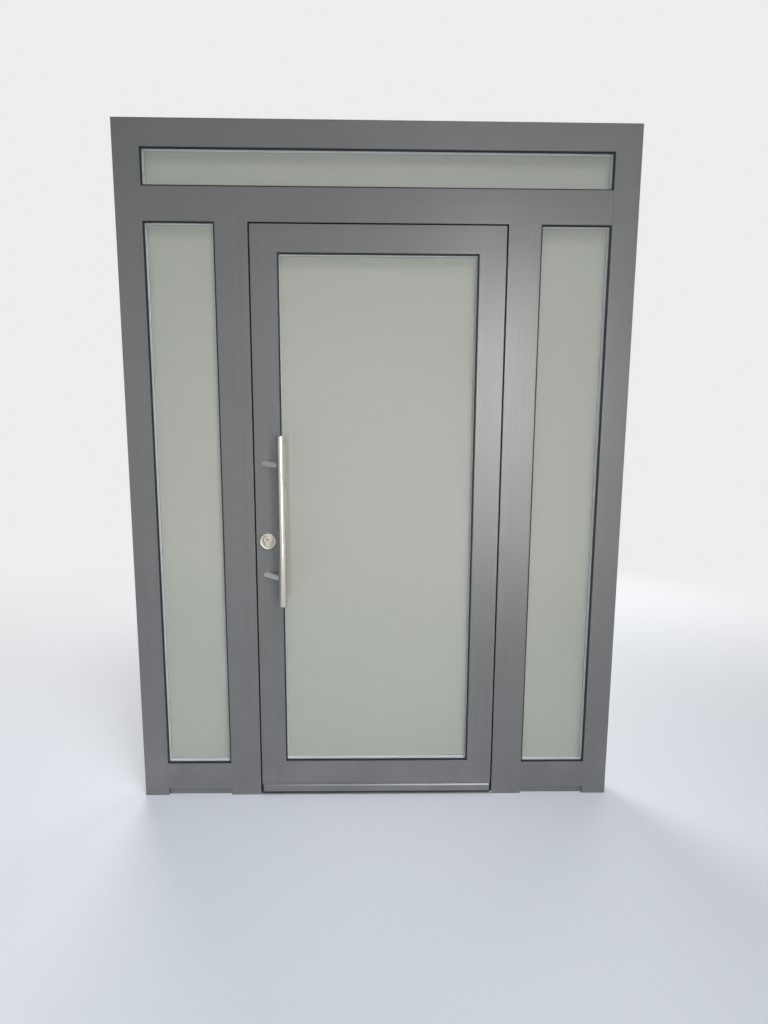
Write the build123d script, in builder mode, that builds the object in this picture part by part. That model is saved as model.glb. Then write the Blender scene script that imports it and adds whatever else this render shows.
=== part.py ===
from build123d import *
import os

os.makedirs("parts", exist_ok=True)

# A glazed entrance door in its own frame: a leaf between two side lights, with a light above.
# Millimetres. X runs across the door, Z up from the floor, and Y through the frame: the street
# side is at negative Y. The origin is on the floor, at the middle of the frame's footprint.

# Frame
frame_width = 1744.0
frame_height = 2382.0
frame_depth = 70.0
transom_height = 121.0       # of the light over the door, between its visible edges
outer_face = 88.0            # face width of the jambs and the head rail
door_frame_face = 110.0      # face width of the mullions and the door head
sill_rail_face = 101.0
sill_base_height = 26.0
sill_base_setback = 10.0

# Threshold
threshold_height = 8.0
threshold_bevel = 3.0
groove_width = 3.0
groove_depth = 1.2
groove_pitch = 12.0
groove_count = 5

# Leaf
leaf_width = 864.0
leaf_face = 91.0             # face width of the stiles and the top rail
bottom_rail_face = 119.0
leaf_gap = 5.0               # between the leaf and the frame, left, right and above
floor_gap = 8.0              # between the leaf and the threshold

# Profiles
wall = 2.5
edge_radius = 1.0
break_width = 24.0           # between the outer and the inner shell
bar_thickness = 2.5          # the insulating bars that hold the shells together
bar_inset = 3.0
bar_seat = 1.5
rebate_depth = 20.0          # of the glazing rebate, from the visible edge to its floor
leg_thickness = 5.0
lip_width = 18.0             # of the leaf's inner flange and of the frame's step for it
flange_thickness = 8.0
seal_gap = 5.0               # between the flange and the step
seal_inset = 4.0             # of the seal on the step, from the frame's inner edge
seal_width = 9.0
seal_slack = 0.4             # between the seal and the flange that closes on it

# Glazing
glass_setback = 10.0         # from the frame's face to the glass
pane_thickness = 6.0
cavity = 18.0
glass_bite = 12.0            # how far the glass goes into the rebate
spacer_sealant = 5.0
spacer_show = 6.0
gasket_show = 5.0
inner_gasket_show = 2.0
gasket_bite = 9.0
inner_gasket_thickness = 4.0
bead_wall = 1.5
bead_radius = 2.0
bead_joint = 0.2
block_length = 80.0

# Fixing holes
fixing_hole = 8.0
fixing_depth = 24.0          # of the holes, behind the middle of the frame
lowest_fixing = 240.0
highest_fixing = 342.0       # down from the frame's top
fixings_per_jamb = 4
head_fixing_pitch = 1000.0

# Lock and cylinder
lock_backset = 41.0
cylinder_height = 988.0
lever_above_cylinder = 78.0
latch_above_lever = 24.0
deadbolt_above_cylinder = 34.5
plate_thickness = 3.0
faceplate_length = 230.0
strike_length = 170.0
strike_above_cylinder = 62.0
case_thickness = 15.0
case_depth = 61.0
case_below_cylinder = 44.0
case_above_lever = 66.0
bolt_thickness = 11.0
bolt_clearance = 0.3
latch_height = 32.0
latch_throw = 12.0
latch_length = 44.0
latch_nose = 3.3             # width left flat at the latch's tip
deadbolt_height = 34.0
deadbolt_throw = 20.0
deadbolt_guide = 8.0         # what stays in the case when the bolt is out
cylinder_radius = 11.0
cylinder_stem = 10.5
cylinder_tail = 24.0
cylinder_proud = 11.5
plug_radius = 7.0
running_clearance = 0.05
cam_radius = 15.0
cam_width = 10.0
cam_clearance = 0.75
keyway_length = 9.0
keyway_width = 2.2
keyway_depth = 24.0
spindle_side = 8.0
spindle_hole = 13.0
outer_rosette_diameter = 58.0
outer_rosette_depth = 12.0
rosette_bevel = 3.0
inner_rosette_diameter = 52.0
inner_rosette_depth = 8.0
lever_radius = 10.0
lever_stand_off = 50.0
lever_bend = 22.0
lever_length = 132.0

# Pull bar
bar_diameter = 30.0
bar_wall = 2.0
bar_length = 600.0
bar_foot = 758.0             # height of the bar's lower end
bar_offset = 62.0            # from the leaf's face to the bar's axis
bar_backset = 99.0           # from the leaf's edge to the bar's axis
bar_cap = 4.0
standoff_diameter = 20.0
standoff_backset = 38.0      # from the leaf's edge to the middle of the standoff's root
standoff_inset = 100.0       # from the bar's end to its standoff
standoff_spigot = 30.0       # of the stud that goes into the stile
stud_diameter = 10.0

# Hinges
hinge_length = 100.0
hinge_knuckle = 11.0         # knuckle radius
hinge_pin = 6.0              # pin radius
hinge_plate = 5.0
hinge_wing = 48.0
hinge_root = 8.0
hinge_knuckle_share = 0.5    # the leaf's part of the hinge's length
hinge_stand_off = 2.0
hinge_clearance = 0.5
hinge_cap = 4.0
hinge_inset = 214.0          # from the leaf's foot and top to the middle of the outer hinges
hinge_count = 3

# Drip rail and bottom seal
drip_height = 26.0
drip_depth = 6.0
drip_bevel = 4.0
drip_end_gap = 5.5
seal_strip_height = 2.0      # of the strip under the leaf, which carries the lip and the brush
lip_setback = 0.5            # of the lip, from the drip rail's face
lip_thickness = 3.0
lip_clearance = 1.5          # between the lip and the threshold
brush_depth = 10.0
brush_clearance = 0.6

# Planes and lines that follow from these
y_face = -frame_depth / 2
y_back = frame_depth / 2
y_leg = y_face + leg_thickness
y_glass = y_face + glass_setback
y_cavity = y_glass + pane_thickness
y_inner_pane = y_cavity + cavity
y_glass_back = y_inner_pane + pane_thickness
y_bead = y_glass_back + inner_gasket_thickness
break_half = break_width / 2
y_flange = y_back - flange_thickness
y_step = y_flange - seal_gap

half_width = frame_width / 2
jamb_edge = half_width - outer_face
leaf_half = leaf_width / 2
opening_half = leaf_half + leaf_gap
mullion_edge = opening_half + door_frame_face
glass_half = leaf_half - leaf_face
head_edge = frame_height - outer_face
door_head_top = head_edge - transom_height
opening_top = door_head_top - door_frame_face
leaf_top = opening_top - leaf_gap
leaf_foot = threshold_height + floor_gap
glass_top = leaf_top - leaf_face
glass_foot = leaf_foot + bottom_rail_face
side_glass_foot = sill_base_height + sill_rail_face

lock_x = -leaf_half + lock_backset
rosette_height = cylinder_height - (cylinder_tail - cylinder_radius) / 2
lever_height = cylinder_height + lever_above_cylinder
latch_height_centre = lever_height + latch_above_lever
deadbolt_height_centre = cylinder_height + deadbolt_above_cylinder

# Each light's visible opening: left, right, foot, top
transom_light = (-jamb_edge, jamb_edge, door_head_top, head_edge)
left_light = (-jamb_edge, -mullion_edge, side_glass_foot, opening_top)
right_light = (mullion_edge, jamb_edge, side_glass_foot, opening_top)
leaf_light = (-glass_half, glass_half, glass_foot, glass_top)


def patch(x_low, x_high, y_low, y_high, mode=Mode.ADD):
    """A rectangle in the current sketch, given by its sides."""
    with Locations(((x_low + x_high) / 2, (y_low + y_high) / 2)):
        Rectangle(x_high - x_low, y_high - y_low, mode=mode)


def block(x_low, x_high, y_low, y_high, z_low, z_high, mode=Mode.ADD):
    """A box in the current part, given by its sides."""
    with Locations(((x_low + x_high) / 2, (y_low + y_high) / 2, (z_low + z_high) / 2)):
        Box(x_high - x_low, y_high - y_low, z_high - z_low, mode=mode)


def drill(radius, x, z, y_low, y_high, mode=Mode.SUBTRACT):
    """A round hole, or a round bar, that runs through the door's thickness."""
    with BuildSketch(facing(y_high)) as hole:
        with Locations((x, z)):
            Circle(radius)
    extrude(hole.sketch, amount=y_high - y_low, mode=mode)


def facing(y):
    """The plane across the door at a depth: a sketch on it has X and Z, and grows to the street."""
    return Plane(origin=(0, y, 0), x_dir=(1, 0, 0), z_dir=(0, -1, 0))


def across(x):
    """The plane that cuts a rail square at x: a sketch on it has Z and Y, and grows to the left."""
    return Plane(origin=(x, 0, 0), x_dir=(0, 0, 1), z_dir=(-1, 0, 0))


def mitre(x, z):
    """The plane of a corner joint that rises from an inner corner, left or right of the middle."""
    return Plane(origin=(x, 0, z), z_dir=(-1 if x > 0 else 1, 0, 1))


def profile(low, high, glass="", step="", flange=""):
    """The section of a bar: two hollow shells, with a leg over the glass on the sides that hold
    glass, a step on a frame side that the leaf closes on, and a flange on the leaf's own sides."""
    legs = {"low": (low - rebate_depth, low), "high": (high, high + rebate_depth)}
    flanges = {"low": (low - lip_width, low), "high": (high, high + lip_width)}
    step_low = low + lip_width if step == "low" else low
    step_high = high - lip_width if step == "high" else high
    with BuildSketch() as outer_shell:
        patch(low, high, y_face, -break_half)
        for side in glass.split():
            patch(*legs[side], y_face, y_leg)
        fillet(outer_shell.vertices().group_by(Axis.Y)[0], edge_radius)
        patch(low + wall, high - wall, y_face + wall, -break_half - wall - bar_seat, Mode.SUBTRACT)
    with BuildSketch() as inner_shell:
        patch(low, high, break_half, y_step)
        patch(step_low, step_high, y_step, y_back)
        if flange:
            patch(*flanges[flange], y_flange, y_back)
        fillet(inner_shell.vertices().group_by(Axis.Y)[-1], edge_radius)
        patch(step_low + wall, step_high - wall, break_half + wall + bar_seat, y_back - wall, Mode.SUBTRACT)
    add(outer_shell.sketch)
    add(inner_shell.sketch)
    insulating_bars(low, high, Mode.SUBTRACT)


def insulating_bars(low, high, mode=Mode.ADD):
    """The two bars that hold the shells together, seated in a groove at each end."""
    reach = break_half + bar_seat
    patch(low + bar_inset, low + bar_inset + bar_thickness, -reach, reach, mode)
    patch(high - bar_inset - bar_thickness, high - bar_inset, -reach, reach, mode)


def cope(x_low, x_high, z_low, z_high):
    """Cuts a rail's ends back behind the legs of the uprights that it meets."""
    for x in (x_low, x_high - rebate_depth):
        block(x, x + rebate_depth, y_face, y_leg, z_low, z_high, Mode.SUBTRACT)


def through_cylinder_hole(y_low, y_high, slack=0.0, mode=Mode.SUBTRACT):
    """The outline of the round cylinder with its stem, cut or raised through a thickness."""
    with BuildSketch(facing(y_high)) as outline:
        with Locations((lock_x, cylinder_height)):
            Circle(cylinder_radius + slack)
        patch(lock_x - cylinder_stem / 2 - slack, lock_x + cylinder_stem / 2 + slack,
              cylinder_height - cylinder_tail - slack, cylinder_height)
    extrude(outline.sketch, amount=y_high - y_low, mode=mode)


def ring(light, outside, inside, y_low, y_high):
    """A rectangular ring round a light, reaching outside and inside its visible edge."""
    left, right, foot, top = light
    with BuildSketch(facing(y_high)) as outline:
        patch(left - outside, right + outside, foot - outside, top + outside)
        patch(left + inside, right - inside, foot + inside, top - inside, Mode.SUBTRACT)
    extrude(outline.sketch, amount=y_high - y_low)


def pane(light, y_low):
    """One sheet of glass of a light."""
    left, right, foot, top = light
    block(left - glass_bite, right + glass_bite, y_low, y_low + pane_thickness,
          foot - glass_bite, top + glass_bite)


def beads(light):
    """Four hollow glazing beads that hold a light's glass from the room side."""
    left, right, foot, top = light
    for inner, outer in ((foot, foot - rebate_depth), (top, top + rebate_depth)):
        section = across(right + rebate_depth) * bead_section(inner, outer)
        extrude(section, amount=right - left + 2 * rebate_depth)
    for inner, outer in ((left, left - rebate_depth), (right, right + rebate_depth)):
        section = Plane.XY.offset(foot + bead_joint) * bead_section(inner, outer)
        extrude(section, amount=top - foot - 2 * bead_joint)


def bead_section(inner, outer):
    """A bead's hollow section, rounded at its free corner."""
    low, high = min(inner, outer), max(inner, outer)
    with BuildSketch() as bead:
        patch(low, high, y_bead, y_back)
        corners = bead.vertices().group_by(Axis.Y)[-1].sort_by(Axis.X)
        fillet(corners[0] if inner < outer else corners[-1], bead_radius)
        patch(low + bead_wall, high - bead_wall, y_bead + bead_wall, y_back - bead_wall, Mode.SUBTRACT)
    return bead.sketch


def setting_blocks(light):
    """Two blocks in the foot of the rebate, which the glass stands on."""
    left, right, foot, _ = light
    quarter = (right - left) / 4
    for middle in (left + quarter, right - quarter):
        half = min(block_length, quarter) / 2
        block(middle - half, middle + half, y_glass, y_glass_back, foot - rebate_depth, foot - glass_bite)


# Where each bar's body lies, from its low side to its high side
jamb_bar = (-half_width, -jamb_edge - rebate_depth)
mullion_bar = (-mullion_edge + rebate_depth, -opening_half)
head_bar = (head_edge + rebate_depth, frame_height)
door_head_bar = (opening_top, door_head_top - rebate_depth)
side_rail_bar = (opening_top + rebate_depth, door_head_top - rebate_depth)
sill_bar = (sill_base_height, side_glass_foot - rebate_depth)
stile_bar = (-leaf_half, -glass_half - rebate_depth)
top_rail_bar = (glass_top + rebate_depth, leaf_top)
bottom_rail_bar = (leaf_foot, glass_foot - rebate_depth)
side_left, side_right = jamb_bar[1], mullion_bar[0]
flange_top = leaf_top + lip_width
rail_half = glass_half + rebate_depth

# Uprights of the frame
fixing_pitch = (frame_height - highest_fixing - lowest_fixing) / (fixings_per_jamb - 1)
fixing_heights = [lowest_fixing + fixing_pitch * i for i in range(fixings_per_jamb)]

with BuildPart() as jamb_left:
    with BuildSketch(Plane.XY):
        profile(*jamb_bar, glass="high")
    extrude(amount=frame_height)
    split(bisect_by=mitre(-jamb_edge, head_edge), keep=Keep.BOTTOM)
    for height in fixing_heights:
        with Locations(Location((jamb_bar[0], fixing_depth, height), (0, 90, 0))):
            Cylinder(fixing_hole / 2, 2 * outer_face, mode=Mode.SUBTRACT)

with BuildPart() as jamb_right:
    mirror(jamb_left.part, about=Plane.YZ)

with BuildPart() as mullion_left:
    with BuildSketch(Plane.XY):
        profile(*mullion_bar, glass="low", step="high")
    extrude(amount=door_head_top)
    split(bisect_by=mitre(-opening_half, opening_top), keep=Keep.BOTTOM)

with BuildPart() as mullion_right:
    mirror(mullion_left.part, about=Plane.YZ)

# Rails of the frame
with BuildPart() as head_rail:
    with BuildSketch(across(half_width)):
        profile(*head_bar, glass="low")
    extrude(amount=frame_width)
    for corner in (-jamb_edge, jamb_edge):
        split(bisect_by=mitre(corner, head_edge), keep=Keep.TOP)
    for x in (-head_fixing_pitch / 2, head_fixing_pitch / 2):
        with Locations((x, fixing_depth, frame_height)):
            Cylinder(fixing_hole / 2, 2 * outer_face, mode=Mode.SUBTRACT)

with BuildPart() as door_head:
    with BuildSketch(across(mullion_edge)):
        profile(*door_head_bar, glass="high", step="low")
    extrude(amount=2 * mullion_edge)
    for corner in (-opening_half, opening_half):
        split(bisect_by=mitre(corner, opening_top), keep=Keep.TOP)

with BuildPart() as side_rail_left:
    with BuildSketch(across(side_right)):
        profile(*side_rail_bar, glass="low high")
    extrude(amount=side_right - side_left)
    cope(side_left, side_right, opening_top, door_head_top)

with BuildPart() as side_rail_right:
    mirror(side_rail_left.part, about=Plane.YZ)

with BuildPart() as sill_rail_left:
    with BuildSketch(across(side_right)):
        profile(*sill_bar, glass="high")
    extrude(amount=side_right - side_left)
    cope(side_left, side_right, sill_base_height, side_glass_foot)

with BuildPart() as sill_rail_right:
    mirror(sill_rail_left.part, about=Plane.YZ)

with BuildPart() as sill_base_left:
    with BuildSketch(across(side_right)):
        patch(0, sill_base_height, y_face + sill_base_setback, y_back - sill_base_setback)
        patch(wall, sill_base_height - wall, y_face + sill_base_setback + wall,
              y_back - sill_base_setback - wall, Mode.SUBTRACT)
    extrude(amount=side_right - side_left)

with BuildPart() as sill_base_right:
    mirror(sill_base_left.part, about=Plane.YZ)

# The threshold: a low ribbed plate with a bevel towards the street and the room
groove_middle = threshold_height - groove_depth / 2

with BuildPart() as threshold:
    with BuildSketch(across(opening_half)) as threshold_section:
        patch(0, threshold_height, y_face, y_back)
        chamfer(threshold_section.vertices().group_by(Axis.X)[-1], threshold_bevel)
        with Locations((groove_middle, 0)):
            with GridLocations(groove_depth, groove_pitch, 1, groove_count):
                Rectangle(groove_depth, groove_width, mode=Mode.SUBTRACT)
    extrude(amount=2 * opening_half)

# The insulating bars of the frame, with room for the bolts in the lock side's mullion
latch_foot = latch_height_centre - latch_height / 2 - bolt_clearance
latch_head = latch_height_centre + latch_height / 2 + bolt_clearance
deadbolt_foot = deadbolt_height_centre - deadbolt_height / 2 - bolt_clearance
deadbolt_head = deadbolt_height_centre + deadbolt_height / 2 + bolt_clearance
bolt_half = bolt_thickness / 2 + bolt_clearance
bolt_pocket = bar_inset + bar_thickness + bolt_clearance

with BuildPart() as jamb_bars:
    with BuildSketch(Plane.XY):
        insulating_bars(*jamb_bar)
    extrude(amount=frame_height)
    split(bisect_by=mitre(-jamb_edge, head_edge), keep=Keep.BOTTOM)

with BuildPart() as mullion_bars:
    with BuildSketch(Plane.XY):
        insulating_bars(*mullion_bar)
    extrude(amount=door_head_top)
    split(bisect_by=mitre(-opening_half, opening_top), keep=Keep.BOTTOM)

with BuildPart() as head_bars:
    with BuildSketch(across(half_width)):
        insulating_bars(*head_bar)
    extrude(amount=frame_width)
    for corner in (-jamb_edge, jamb_edge):
        split(bisect_by=mitre(corner, head_edge), keep=Keep.TOP)

with BuildPart() as door_head_bars:
    with BuildSketch(across(mullion_edge)):
        insulating_bars(*door_head_bar)
    extrude(amount=2 * mullion_edge)
    for corner in (-opening_half, opening_half):
        split(bisect_by=mitre(corner, opening_top), keep=Keep.TOP)

with BuildPart() as frame_insulating_bars:
    add(jamb_bars.part)
    add(mullion_bars.part)
    for bar in (side_rail_bar, sill_bar):
        with BuildSketch(across(side_right)):
            insulating_bars(*bar)
        extrude(amount=side_right - side_left)
    mirror(about=Plane.YZ)
    for foot, head in ((latch_foot, latch_head), (deadbolt_foot, deadbolt_head)):
        block(-opening_half - bolt_pocket, -opening_half, -bolt_half, bolt_half, foot, head, Mode.SUBTRACT)
    add(head_bars.part)
    add(door_head_bars.part)

# Uprights and rails of the leaf
case_foot = cylinder_height - case_below_cylinder
case_head = lever_height + case_above_lever
case_edge = -leaf_half + plate_thickness
pull_x = -leaf_half + bar_backset
pull_y = y_face - bar_offset
standoff_x = -leaf_half + standoff_backset
standoff_heights = (bar_foot + standoff_inset, bar_foot + bar_length - standoff_inset)

with BuildPart() as hinge_stile:
    with BuildSketch(Plane.XY.offset(leaf_foot)):
        profile(-stile_bar[1], -stile_bar[0], glass="low", flange="high")
    extrude(amount=flange_top - leaf_foot)
    split(bisect_by=mitre(glass_half, glass_top), keep=Keep.BOTTOM)

with BuildPart() as lock_stile:
    mirror(hinge_stile.part, about=Plane.YZ)
    through_cylinder_hole(y_face, y_back, slack=running_clearance)
    drill(spindle_hole / 2, lock_x, lever_height, 0, y_back)
    for height in standoff_heights:
        drill(stud_diameter / 2, standoff_x, height, y_face, 0)

with BuildPart() as top_rail:
    with BuildSketch(across(leaf_half + lip_width)):
        profile(*top_rail_bar, glass="low", flange="high")
    extrude(amount=leaf_width + 2 * lip_width)
    for corner in (-glass_half, glass_half):
        split(bisect_by=mitre(corner, glass_top), keep=Keep.TOP)

with BuildPart() as bottom_rail:
    with BuildSketch(across(rail_half)):
        profile(*bottom_rail_bar, glass="high")
    extrude(amount=2 * rail_half)
    cope(-rail_half, rail_half, leaf_foot, glass_foot)

with BuildPart() as stile_bars:
    with BuildSketch(Plane.XY.offset(leaf_foot)):
        insulating_bars(*stile_bar)
    extrude(amount=leaf_top - leaf_foot)
    split(bisect_by=mitre(-glass_half, glass_top), keep=Keep.BOTTOM)
    mirror(about=Plane.YZ)
    block(-leaf_half, case_edge + bar_thickness, -break_half, break_half, case_foot, case_head, Mode.SUBTRACT)

with BuildPart() as top_rail_bars:
    with BuildSketch(across(leaf_half)):
        insulating_bars(*top_rail_bar)
    extrude(amount=leaf_width)
    for corner in (-glass_half, glass_half):
        split(bisect_by=mitre(corner, glass_top), keep=Keep.TOP)

with BuildPart() as leaf_insulating_bars:
    add(stile_bars.part)
    add(top_rail_bars.part)
    with BuildSketch(across(rail_half)):
        insulating_bars(*bottom_rail_bar)
    extrude(amount=2 * rail_half)

# The drip rail on the leaf's foot, with a sloping top edge, and the seal under both: a strip with
# a lip behind the drip rail's face and a brush under the middle of the leaf
drip_half = leaf_half - drip_end_gap

with BuildPart() as drip_rail:
    with BuildSketch(across(drip_half)) as drip_section:
        patch(leaf_foot, leaf_foot + drip_height, y_face - drip_depth, y_face)
        upper = drip_section.vertices().group_by(Axis.Y)[0].sort_by(Axis.X)[-1]
        chamfer(upper, drip_bevel)
    extrude(amount=2 * drip_half)

lip_front = y_face - drip_depth + lip_setback
strip_foot = leaf_foot - seal_strip_height

with BuildPart() as bottom_seal:
    block(-drip_half, drip_half, lip_front, break_half + 2 * wall, strip_foot, leaf_foot)
    block(-drip_half, drip_half, lip_front, lip_front + lip_thickness,
          threshold_height + lip_clearance, strip_foot)
    block(-drip_half, drip_half, -brush_depth / 2, brush_depth / 2,
          threshold_height + brush_clearance, strip_foot)

# The glass: two sheets a light, kept apart by a spacer and held between gaskets
with BuildPart() as transom_outer_pane:
    pane(transom_light, y_glass)

with BuildPart() as transom_inner_pane:
    pane(transom_light, y_inner_pane)

with BuildPart() as left_outer_pane:
    pane(left_light, y_glass)

with BuildPart() as left_inner_pane:
    pane(left_light, y_inner_pane)

with BuildPart() as right_outer_pane:
    pane(right_light, y_glass)

with BuildPart() as right_inner_pane:
    pane(right_light, y_inner_pane)

with BuildPart() as leaf_outer_pane:
    pane(leaf_light, y_glass)

with BuildPart() as leaf_inner_pane:
    pane(leaf_light, y_inner_pane)

spacer_reach = glass_bite - spacer_sealant
frame_lights = (transom_light, left_light, right_light)

with BuildPart() as frame_glass_spacers:
    for light in frame_lights:
        ring(light, spacer_reach, spacer_show, y_cavity, y_inner_pane)

with BuildPart() as leaf_glass_spacer:
    ring(leaf_light, spacer_reach, spacer_show, y_cavity, y_inner_pane)

with BuildPart() as frame_outer_gaskets:
    for light in frame_lights:
        ring(light, gasket_bite, gasket_show, y_leg, y_glass)

with BuildPart() as leaf_outer_gasket:
    ring(leaf_light, gasket_bite, gasket_show, y_leg, y_glass)

with BuildPart() as frame_inner_gaskets:
    for light in frame_lights:
        ring(light, gasket_bite, inner_gasket_show, y_glass_back, y_bead)

with BuildPart() as leaf_inner_gasket:
    ring(leaf_light, gasket_bite, inner_gasket_show, y_glass_back, y_bead)

with BuildPart() as transom_beads:
    beads(transom_light)

with BuildPart() as left_beads:
    beads(left_light)

with BuildPart() as right_beads:
    beads(right_light)

with BuildPart() as leaf_beads:
    beads(leaf_light)

with BuildPart() as frame_setting_blocks:
    for light in frame_lights:
        setting_blocks(light)

with BuildPart() as leaf_setting_blocks:
    setting_blocks(leaf_light)

# The seal on the frame's step, which the leaf's flange closes against
with BuildPart() as frame_rebate_seal:
    with BuildSketch(facing(y_flange - seal_slack)):
        patch(-opening_half - seal_inset - seal_width, opening_half + seal_inset + seal_width,
              leaf_foot, opening_top + seal_inset + seal_width)
        patch(-opening_half - seal_inset, opening_half + seal_inset,
              leaf_foot, opening_top + seal_inset, Mode.SUBTRACT)
    extrude(amount=seal_gap - seal_slack)

# Lock case and faceplate in the stile's edge, strike plate in the mullion's
latch_channel = latch_length + latch_throw + bolt_clearance
deadbolt_length = deadbolt_throw + deadbolt_guide
cam_space = cam_radius + cam_clearance
cam_half = cam_width / 2

with BuildPart() as lock_case:
    block(case_edge, case_edge + case_depth, -case_thickness / 2, case_thickness / 2, case_foot, case_head)
    through_cylinder_hole(-case_thickness / 2, case_thickness / 2, slack=running_clearance)
    drill(cam_space, lock_x, cylinder_height, -cam_half - cam_clearance, cam_half + cam_clearance)
    drill(spindle_hole / 2, lock_x, lever_height, -case_thickness / 2, case_thickness / 2)
    block(case_edge, -leaf_half - latch_throw + latch_channel, -bolt_half, bolt_half,
          latch_foot, latch_head, Mode.SUBTRACT)
    block(case_edge, -leaf_half + deadbolt_length + bolt_clearance, -bolt_half, bolt_half,
          deadbolt_foot, deadbolt_head, Mode.SUBTRACT)

plate_middle = cylinder_height + strike_above_cylinder

with BuildPart() as lock_faceplate:
    block(-leaf_half, case_edge, -break_half, break_half,
          plate_middle - faceplate_length / 2, plate_middle + faceplate_length / 2)
    for foot, head in ((latch_foot, latch_head), (deadbolt_foot, deadbolt_head)):
        block(-leaf_half, case_edge, -bolt_half, bolt_half, foot, head, Mode.SUBTRACT)

with BuildPart() as strike_plate:
    block(-opening_half - plate_thickness, -opening_half, -break_half, break_half,
          plate_middle - strike_length / 2, plate_middle + strike_length / 2)
    for foot, head in ((latch_foot, latch_head), (deadbolt_foot, deadbolt_head)):
        block(-opening_half - plate_thickness, -opening_half, -bolt_half, bolt_half, foot, head, Mode.SUBTRACT)

latch_tip = -leaf_half - latch_throw
latch_bevel = bolt_thickness - latch_nose

with BuildPart() as latch_bolt:
    block(latch_tip, latch_tip + latch_length, -bolt_thickness / 2, bolt_thickness / 2,
          latch_height_centre - latch_height / 2, latch_height_centre + latch_height / 2)
    street_edge = latch_bolt.edges().filter_by(Axis.Z).group_by(Axis.X)[0].sort_by(Axis.Y)[0]
    end_face = latch_bolt.faces().sort_by(Axis.X)[0]
    chamfer(street_edge, latch_bevel, latch_throw - bolt_clearance, reference=end_face)

with BuildPart() as deadbolt:
    block(-leaf_half, -leaf_half + deadbolt_length, -bolt_thickness / 2, bolt_thickness / 2,
          deadbolt_height_centre - deadbolt_height / 2, deadbolt_height_centre + deadbolt_height / 2)

# Cylinder: body with its stem, and the plug with its cam and its keyway
with BuildPart() as cylinder_body:
    through_cylinder_hole(y_face - cylinder_proud, y_back + cylinder_proud, mode=Mode.ADD)
    drill(plug_radius + running_clearance, lock_x, cylinder_height,
          y_face - cylinder_proud, y_back + cylinder_proud)
    drill(cam_space, lock_x, cylinder_height, -cam_half - cam_clearance, cam_half + cam_clearance)

with BuildPart() as cylinder_plug:
    drill(plug_radius, lock_x, cylinder_height, y_face - cylinder_proud, y_back + cylinder_proud, Mode.ADD)
    with BuildSketch(facing(cam_half)):
        with Locations((lock_x, cylinder_height - cam_radius / 2)):
            Rectangle(plug_radius, cam_radius)
    extrude(amount=cam_width)
    for y in (y_face - cylinder_proud, y_back + cylinder_proud - keyway_depth):
        block(lock_x - keyway_length / 2, lock_x + keyway_length / 2, y, y + keyway_depth,
              cylinder_height - keyway_width / 2, cylinder_height + keyway_width / 2, Mode.SUBTRACT)

# The rosettes stand round the middle of the cylinder's whole outline, below the plug
with BuildPart() as outer_rosette:
    drill(outer_rosette_diameter / 2, lock_x, rosette_height, y_face - outer_rosette_depth, y_face, Mode.ADD)
    chamfer(outer_rosette.faces().sort_by(Axis.Y)[0].outer_wire().edges(), rosette_bevel)
    through_cylinder_hole(y_face - outer_rosette_depth, y_face, slack=running_clearance)

with BuildPart() as inner_rosette:
    drill(inner_rosette_diameter / 2, lock_x, rosette_height, y_back, y_back + inner_rosette_depth, Mode.ADD)
    chamfer(inner_rosette.faces().sort_by(Axis.Y)[-1].outer_wire().edges(), edge_radius)
    through_cylinder_hole(y_back, y_back + inner_rosette_depth, slack=running_clearance)

# Lever handle of the room side, on its square spindle
with BuildPart() as lever_rosette:
    drill(inner_rosette_diameter / 2, lock_x, lever_height, y_back, y_back + inner_rosette_depth, Mode.ADD)
    chamfer(lever_rosette.faces().sort_by(Axis.Y)[-1].outer_wire().edges(), edge_radius)
    drill(lever_radius + running_clearance, lock_x, lever_height, y_back, y_back + inner_rosette_depth)

neck_foot = y_back + edge_radius
grip_y = y_back + lever_stand_off
half_spindle = spindle_side / 2

with BuildPart() as lever_handle:
    with BuildLine(Plane.XY.offset(lever_height)):
        FilletPolyline((lock_x, neck_foot), (lock_x, grip_y), (lock_x + lever_length, grip_y), radius=lever_bend)
    with BuildSketch(facing(neck_foot)):
        with Locations((lock_x, lever_height)):
            Circle(lever_radius)
    sweep()
    chamfer(lever_handle.faces().sort_by(Axis.X)[-1].edges(), edge_radius)
    block(lock_x - half_spindle, lock_x + half_spindle, neck_foot, grip_y - lever_bend,
          lever_height - half_spindle, lever_height + half_spindle, Mode.SUBTRACT)

with BuildPart() as lever_spindle:
    block(lock_x - half_spindle, lock_x + half_spindle, -case_thickness / 2, grip_y - lever_bend,
          lever_height - half_spindle, lever_height + half_spindle)

# Pull bar of the street side, on two slanting standoffs
with BuildPart() as pull_bar:
    with BuildSketch(Plane.XY.offset(bar_foot + bar_cap)):
        with Locations((pull_x, pull_y)):
            Circle(bar_diameter / 2)
            Circle(bar_diameter / 2 - bar_wall, mode=Mode.SUBTRACT)
    extrude(amount=bar_length - 2 * bar_cap)

with BuildPart() as pull_bar_caps:
    for height, turn in ((bar_foot, 1), (bar_foot + bar_length, -1)):
        with BuildSketch(Plane.XY.offset(height)):
            with Locations((pull_x, pull_y)):
                Circle(bar_diameter / 2)
        extrude(amount=turn * bar_cap)
    ends = pull_bar_caps.faces().filter_by(Axis.Z).sort_by(Axis.Z)
    chamfer(ends[0].edges() + ends[-1].edges(), edge_radius)

standoff_reach = Vector(pull_x - standoff_x, pull_y - y_face, 0)

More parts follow.
